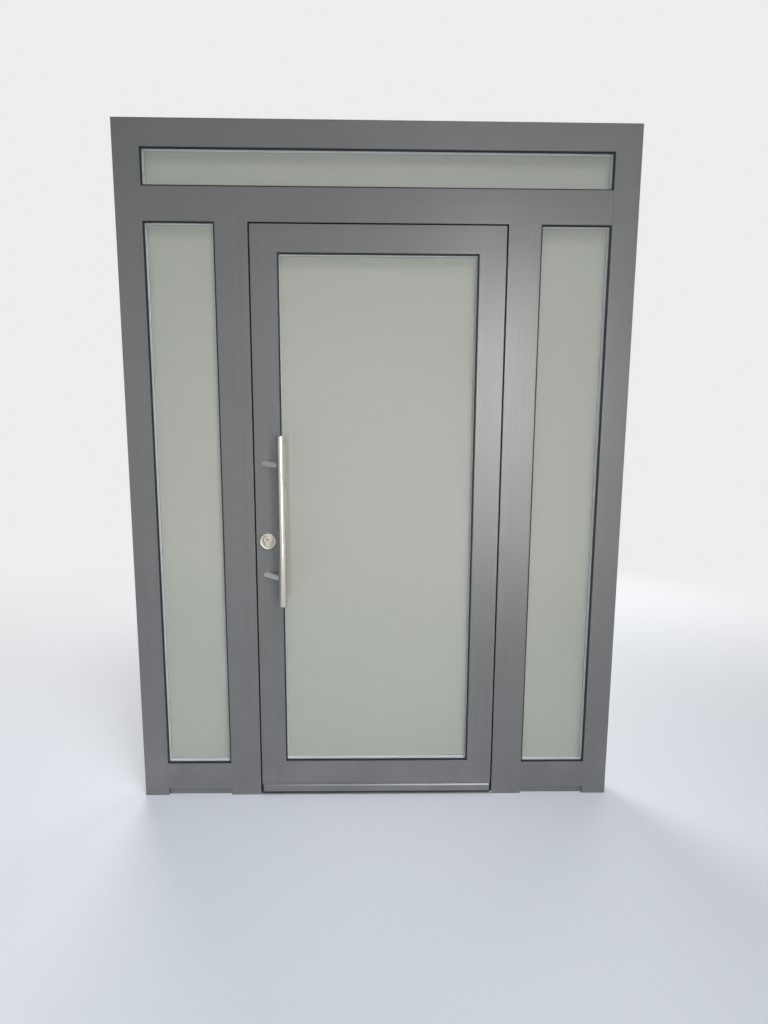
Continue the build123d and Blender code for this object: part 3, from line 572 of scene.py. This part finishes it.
def hairline(form, start, end, y, width):
    along = (Vector(end) - Vector(start)).normalized()
    outward = -1 if y < 0 else 1
    edge = seams["edgeProud"]
    rows = []
    for x, z in (start, end):
        row = []
        for k, lift in ((-1, edge), (0, 1.0), (1, edge)):
            row.append(form.verts.new((x - along.y * k * width / 2,
                                       y + outward * lift * seams["proud"],
                                       z + along.x * k * width / 2)))
        rows.append(row)
    skinRings(form, rows, closed=False)


def frontButt(form, start, end):
    hairline(form, start, end, faceY, seams["butt"])


def backButt(form, start, end):
    hairline(form, start, end, backY, seams["butt"])


def backMitre(form, start, end):
    hairline(form, start, end, backY, seams["mitre"])


frameButts, frameMitres = bmesh.new(), bmesh.new()
leafButts, leafMitres = bmesh.new(), bmesh.new()
jambBack, mullionBack = jambEdge + bars["rebate"], mullionEdge - bars["rebate"]
stileBack = glassHalf + bars["rebate"]
for side in (-1, 1):
    for x in (jambEdge, mullionEdge):
        frontButt(frameButts, (side * x, sillRailLow[2]), (side * x, sillRailHigh[2]))
    frontButt(frameButts, (side * mullionEdge, openingTop), (side * mullionEdge, doorHeadTop))
    frontButt(frameButts, (side * jambEdge, doorHeadTop), (side * halfWidth, doorHeadTop))
    for x in (jambBack, mullionBack):
        backButt(frameButts, (side * x, sillRailLow[2]),
                 (side * x, sillRailHigh[2] - bars["rebate"]))
        backButt(frameButts, (side * x, openingTop + bars["rebate"]),
                 (side * x, doorHeadTop - bars["rebate"]))
    backMitre(frameMitres, (side * jambBack, headEdge + bars["rebate"]),
              (side * halfWidth, frameTop))
    backMitre(frameMitres, (side * (openingHalf + bars["lip"]), openingTop + bars["lip"]),
              (side * mullionBack, doorHeadTop - bars["rebate"]))
    frontButt(leafButts, (side * glassHalf, dripTop), (side * glassHalf, bottomRailHigh[2]))
    backButt(leafButts, (side * stileBack, bottomRailLow[2]),
             (side * stileBack, bottomRailHigh[2] - bars["rebate"]))
    hairline(leafMitres, (side * glassHalf, glassTop), (side * leafHalf, leafTop), faceY,
             seams["mitre"])
    backMitre(leafMitres, (side * stileBack, glassTop + bars["rebate"]),
              (side * (leafHalf + bars["lip"]), leafTop + bars["lip"]))
addPiece("frameButts", frameButts, "paleSeam", "frame")
addPiece("frameMitres", frameMitres, "darkJointsAndPaintedShade", "frame")
addPiece("leafButts", leafButts, "paleSeam", "leaf")
addPiece("leafMitres", leafMitres, "darkJointsAndPaintedShade", "leaf")
print("hairlines lie on the bars' joints")


# the dark seal between spacer and inner pane
glassSeal = {
    "height": 0.0008,          # up the pane
    "depth": 0.0009,           # towards the spacer
    "sunk": 0.0001,            # into the spacer
    "shoulderHeight": 0.9,     # shares of the height and the depth
    "shoulderDepth": 0.4,
}


def sealRing(form, pane, innerPane):
    left, right, foot, top = lightOf(pane)
    inset = bars["spacerShow"] - glassSeal["sunk"]
    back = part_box(innerPane)[0][1]
    # section: up the pane, over a rounded shoulder, down to the spacer
    section = [(inset, 0.0), (inset + glassSeal["height"], 0.0),
               (inset + glassSeal["height"] * glassSeal["shoulderHeight"],
                -glassSeal["depth"] * glassSeal["shoulderDepth"]),
               (inset, -glassSeal["depth"])]
    rings = []
    for push, y in section:
        rings.append([form.verts.new((x, back + y, z)) for x, z in
                      ((left + push, foot + push), (right - push, foot + push),
                       (right - push, top - push), (left + push, top - push))])
    skinRings(form, rings)


for pieceName, body, panes in (("frameGlassSeals", "frame", ("transom", "left", "right")),
                               ("leafGlassSeal", "leaf", ("leaf",))):
    seal = bmesh.new()
    for pane in panes:
        sealRing(seal, pane + "_outer_pane", pane + "_inner_pane")
    addPiece(pieceName, seal, "sealLine", body)
print("the glass units have their inner seals")


# lock rosette: rolled rim, dished ring, opening in the shape of the cylinder
rosette = {
    "tailHalf": 0.00530,       # of the opening for the cylinder's stem
    "tailGap": 0.0001,         # under the stem
    "eyeRadius": 0.01105,
    "steps": 96,
    "shadedDrop": (0.00025, 0.0013),    # below the front, where the dished ring is duller and its tone darkened as painted shade
    "shadedOut": 0.80,                  # and inside this share of the radius
    # outwards from the opening: share of the way to the rim, and depth below the front
    "ring": ((0.0, 0.0009), (0.02, 0.0002), (0.06, 0.0), (0.10, 0.0001), (0.16, 0.0008),
             (0.40, 0.0011), (0.62, 0.0009), (0.70, 0.0003), (0.74, 0.0), (0.79, 0.0001),
             (0.86, 0.0009), (0.93, 0.0022), (0.975, 0.0038), (1.0, 0.0062), (1.0, 0.0120)),
}


def openingReach(angle, eyeRise, tailFoot):
    # from the rosette's middle to the edge of the cylinder's outline in that direction
    c, s = math.cos(angle), math.sin(angle)
    square = eyeRise * s
    eye = square + math.sqrt(rosette["eyeRadius"] ** 2 - eyeRise ** 2 + square ** 2)
    if s >= 0:
        return eye
    tiny = 1e-6                # keeps a level or upright direction from dividing by nothing
    stem = min(rosette["tailHalf"] / max(abs(c), tiny), tailFoot / max(-s, tiny))
    return max(eye, stem)


def makeRosette():
    low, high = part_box("outer_rosette")
    middle = Vector(((low[0] + high[0]) / 2, low[1], (low[2] + high[2]) / 2))
    radius = (high[0] - low[0]) / 2
    bodyLow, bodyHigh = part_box("cylinder_body")
    eyeRise = bodyHigh[2] - rosette["eyeRadius"] - middle.z
    tailFoot = middle.z - bodyLow[2] + rosette["tailGap"]
    form = bmesh.new()
    rings = []
    for share, drop in rosette["ring"]:
        ring = []
        for i in range(rosette["steps"]):
            angle = 2 * math.pi * (i + 0.5) / rosette["steps"]
            start = openingReach(angle, eyeRise, tailFoot)
            reach = start + share * (radius - start)
            ring.append(form.verts.new((middle.x + reach * math.cos(angle), middle.y + drop,
                                        middle.z + reach * math.sin(angle))))
        rings.append(ring)
    skinRings(form, rings)
    # the dished ring between the two edges is duller, and its darker tone is painted shade
    shallow, deep = (middle.y + drop for drop in rosette["shadedDrop"])
    for face in form.faces:
        centre = face.calc_center_median()
        if shallow < centre.y < deep and (centre - middle).length < radius * rosette["shadedOut"]:
            face.material_index = 1
    piece = addPiece("lockRosette", form, "satinNickel", "leaf", sharpAngle=60)
    piece.data.materials.append(finishes["dullShadedNickel"])
    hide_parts("outer_rosette")


makeRosette()


# seam rings: round the plug, and where the bar's caps are let in
seamRings = {
    "plugRadius": 0.00705,     # the plug's hole
    "plugWidth": 0.00035,
    "plugSteps": 64,
    "capDepth": 0.004,         # from the bar's end to the cap's seam
    "capWidth": 0.0003,
    "capSteps": 84,
    "proud": 0.00004,
}


def ringStrip(form, middle, axis, radius, width, steps, lift):
    # a narrow strip round an axis: flat on a face when lift is 0, round a bar when it is 1
    rings = []
    for k in (-0.5, 0.5):
        ring = []
        for i in range(steps):
            angle = 2 * math.pi * i / steps
            across = (math.cos(angle), math.sin(angle))
            reach = radius + k * width * (1 - lift)
            along = k * width * lift
            if axis == "Z":
                place = (middle[0] + reach * across[0], middle[1] + reach * across[1],
                         middle[2] + along)
            else:
                place = (middle[0] + reach * across[0], middle[1] + along,
                         middle[2] + reach * across[1])
            ring.append(form.verts.new(place))
        rings.append(ring)
    skinRings(form, rings)


plugRadius = 0.007
plugLow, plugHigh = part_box("cylinder_plug")
plugX = (plugLow[0] + plugHigh[0]) / 2
plugZ = plugHigh[2] - plugRadius
plugRings = bmesh.new()
for y in (plugLow[1] - seamRings["proud"], plugHigh[1] + seamRings["proud"]):
    ringStrip(plugRings, (plugX, y, plugZ), "Y", seamRings["plugRadius"],
              seamRings["plugWidth"], seamRings["plugSteps"], 0)
addPiece("plugRings", plugRings, "darkJointsAndPaintedShade", "leaf")

keyway = {"length": 0.0110, "width": 0.0034, "proud": 0.00003, "steps": 10}


def slotPatch(form, middle, outward):
    # painted shade: a dark patch over the keyway's mouth, round at both ends
    halfWide = keyway["width"] / 2
    straight = (keyway["length"] - keyway["width"]) / 2
    ring = []
    for end in (1, -1):
        for i in range(keyway["steps"] + 1):
            angle = math.pi * (i / keyway["steps"] - 0.5)
            ring.append(form.verts.new((middle[0] + end * (straight + halfWide * math.cos(angle)),
                                        middle[1] + outward * keyway["proud"],
                                        middle[2] + end * halfWide * math.sin(angle))))
    form.faces.new(ring)


# painted shade over the keyway's mouth, on both faces of the plug
keywayShade = bmesh.new()
slotPatch(keywayShade, (plugX, plugLow[1], plugZ), -1)
slotPatch(keywayShade, (plugX, plugHigh[1], plugZ), 1)
addPiece("keywayShade", keywayShade, "darkJointsAndPaintedShade", "plug")

barLow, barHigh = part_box("pull_bar_caps")
barX, barY = (barLow[0] + barHigh[0]) / 2, (barLow[1] + barHigh[1]) / 2
barRadius = (barHigh[0] - barLow[0]) / 2
capRings = bmesh.new()
for z in (barLow[2] + seamRings["capDepth"], barHigh[2] - seamRings["capDepth"]):
    ringStrip(capRings, (barX, barY, z), "Z", barRadius + seamRings["proud"],
              seamRings["capWidth"], seamRings["capSteps"], 1)
addPiece("capRings", capRings, "darkJointsAndPaintedShade", "leaf")
print("the lock and the bar have their rings")


# foot of the leaf: end caps of the drip rail, thin black sheets in the opening's foot corners as
# painted shade, brush
footTrim = {
    "capGap": 0.001,           # from the cap to the leaf's edge
    "capSetBack": 0.0004,      # behind the drip rail's front
    "capTopGap": 0.001,        # under its top
    "capFootGap": 0.0015,      # over the threshold
    "capRound": 0.0007,
    "sheetThickness": 0.0006,
    "sheetDepth": 0.024,
    "sheetSetBack": 0.001,       # behind the frame's face
    "sheetHeight": 0.040,
    "sheetRound": 0.00025,
}

dripLow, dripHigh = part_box("drip_rail")
sealLow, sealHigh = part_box("bottom_seal")
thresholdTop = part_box("threshold")[1][2]

dripCaps, cornerShadeSheets = bmesh.new(), bmesh.new()
for side in (-1, 1):
    ends = sorted((side * dripHigh[0], side * (leafHalf - footTrim["capGap"])))
    roundedBlock(dripCaps,
                 (ends[0], dripLow[1] + footTrim["capSetBack"],
                  thresholdTop + footTrim["capFootGap"]),
                 (ends[1], faceY, dripHigh[2] - footTrim["capTopGap"]), footTrim["capRound"])
    # thin black sheets on the opening's sides at the foot: painted shade in the gap beside the
    # drip rail's ends
    shadeSheets = sorted((side * openingHalf, side * (openingHalf - footTrim["sheetThickness"])))
    roundedBlock(cornerShadeSheets,
                 (shadeSheets[0], faceY + footTrim["sheetSetBack"], thresholdTop),
                 (shadeSheets[1], faceY + footTrim["sheetDepth"], thresholdTop + footTrim["sheetHeight"]),
                 footTrim["sheetRound"])
addPiece("dripCaps", dripCaps, "blackRubberAndShade", "leaf")
addPiece("cornerShadeSheets", cornerShadeSheets, "blackRubberAndShade", "frame")

brush = {
    "pitch": 0.0011,
    "rows": (-0.0056, -0.0052, 0.0052, 0.0056),
    "thickness": 0.00035,
    "sides": 3,
    "lean": 0.0012,            # along the row, at most
    "crossLean": 0.4,          # of that, across it
    "rootGap": 0.002,          # under the drip rail
    "footGap": 0.0003,         # above the threshold
    "uneven": 0.0003,          # and up to this much more
    "seed": 7,
}

brushDice = random.Random(brush["seed"])
fibres = bmesh.new()
brushTop = dripLow[2] - brush["rootGap"]
brushCount = int((sealHigh[0] - sealLow[0]) / brush["pitch"])
for row in brush["rows"]:
    for i in range(brushCount):
        x = sealLow[0] + (i + brushDice.random()) * brush["pitch"]
        lean = (brushDice.uniform(-1, 1) * brush["lean"],
                brushDice.uniform(-brush["crossLean"], brush["crossLean"]) * brush["lean"])
        foot = thresholdTop + brush["footGap"] + brushDice.random() * brush["uneven"]
        rings = []
        for z, share in ((brushTop, 0.0), (foot, 1.0)):
            ring = []
            for corner in range(brush["sides"]):
                angle = 2 * math.pi * corner / brush["sides"]
                ring.append(fibres.verts.new(
                    (x + lean[0] * share + brush["thickness"] / 2 * math.cos(angle),
                     row + lean[1] * share + brush["thickness"] / 2 * math.sin(angle), z)))
            rings.append(ring)
        skinRings(fibres, rings)
addPiece("brushFibres", fibres, "blackRubberAndShade", "leaf")
print("the leaf's foot has its caps, pads and brush")


screws = {
    "countersunk": 0.0046,     # radius of the head
    "cylinderFixing": 0.0048,
    "setScrew": 0.0028,
    "rise": 0.0003,
    "skirt": 0.0004,           # let into the plate
    "steps": 36,
    "lobes": 6,
    # inwards: shares of the radius and of the rise, and how far the star's lobes reach
    "section": ((1.0, 0.0, 0.0), (0.94, 1.0, 0.0), (0.60, 1.5, 0.0), (0.44, 1.6, 0.06),
                (0.42, 0.2, 0.06)),
    "seed": 11,
}


def screwHead(form, place, normal, radius, turn):
    # a low dome with a star socket; the socket's floor is the second material, dark as painted
    # shade in the socket
    normal = Vector(normal)
    side = normal.orthogonal().normalized()
    up = normal.cross(side)
    place = Vector(place)
    steps = screws["steps"]

    def circle(scale, height, wave=0.0):
        ring = []
        for i in range(steps):
            angle = 2 * math.pi * i / steps + turn
            reach = radius * (scale + wave * math.cos(screws["lobes"] * angle))
            ring.append(form.verts.new(place + side * reach * math.cos(angle)
                                       + up * reach * math.sin(angle) + normal * height))
        return ring

    rings = [circle(1.0, -screws["skirt"])]
    for scale, share, wave in screws["section"]:
        rings.append(circle(scale, screws["rise"] * share, wave))
    skinRings(form, rings)
    floor = form.faces.new(rings[-1])
    floor.material_index = 1


def addScrews(name, places, body, finish):
    form = bmesh.new()
    for place, normal, radius, turn in places:
        screwHead(form, place, normal, radius, turn)
    piece = addPiece(name, form, finish, body)
    # the sockets' floors take the dark material: painted shade
    piece.data.materials.append(finishes["darkJointsAndPaintedShade"])


turnDice = random.Random(screws["seed"])


def anyTurn():
    return turnDice.uniform(0, math.pi)


hingeScrews = {
    "columns": (0.010, 0.027),                # from the plate's outer edge
    "rows": (-0.038, -0.013, 0.013, 0.038),   # from the hinge's middle
    "plate": 0.005,
    "stack": 0.108,                           # pin with its caps
}

pinLow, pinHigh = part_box("hinge_pins")
hingeHeights = [pinLow[2] + hingeScrews["stack"] / 2
                + share * (pinHigh[2] - pinLow[2] - hingeScrews["stack"])
                for share in (0.0, 0.5, 1.0)]
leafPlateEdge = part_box("hinge_leaf_halves")[0][0]
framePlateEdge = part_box("hinge_frame_halves")[1][0]
leafHingeScrews, frameHingeScrews = [], []
for middle in hingeHeights:
    for i, rise in enumerate(hingeScrews["rows"]):
        column = hingeScrews["columns"][i % 2]
        y, z = backY + hingeScrews["plate"], middle + rise
        leafHingeScrews.append(((leafPlateEdge + column, y, z), (0, 1, 0),
                                screws["countersunk"], anyTurn()))
        frameHingeScrews.append(((framePlateEdge - column, y, z), (0, 1, 0),
                                 screws["countersunk"], anyTurn()))
addScrews("leafHingeScrews", leafHingeScrews, "leaf", "lockSteel")
addScrews("frameHingeScrews", frameHingeScrews, "frame", "lockSteel")

plateInset = 0.010             # from a plate's end to its screw
faceLow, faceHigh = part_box("lock_faceplate")
faceScrews = [((faceLow[0], 0.0, z), (-1, 0, 0), screws["countersunk"], anyTurn())
              for z in (faceLow[2] + plateInset, faceHigh[2] - plateInset)]
faceScrews.append(((faceLow[0], 0.0, plugZ), (-1, 0, 0), screws["cylinderFixing"], anyTurn()))
addScrews("faceplateScrews", faceScrews, "leaf", "lockSteel")

strikeLow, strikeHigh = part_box("strike_plate")
strikeScrews = [((strikeHigh[0], 0.0, z), (1, 0, 0), screws["countersunk"], anyTurn())
                for z in (strikeLow[2] + plateInset, strikeHigh[2] - plateInset)]
addScrews("strikeScrews", strikeScrews, "frame", "lockSteel")

# the lever's set screw, under its neck
leverNeck = {"radius": 0.010, "reach": 0.018, "screwSunk": 0.0003}
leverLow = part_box("lever_handle")[0]
setScrewPlace = (leverLow[0] + leverNeck["radius"], backY + leverNeck["reach"],
                 leverLow[2] + leverNeck["screwSunk"])
addScrews("leverSetScrew", [(setScrewPlace, (0, 0, -1), screws["setScrew"], 0.0)],
          "lever", "lockSteel")
print("screws are in")
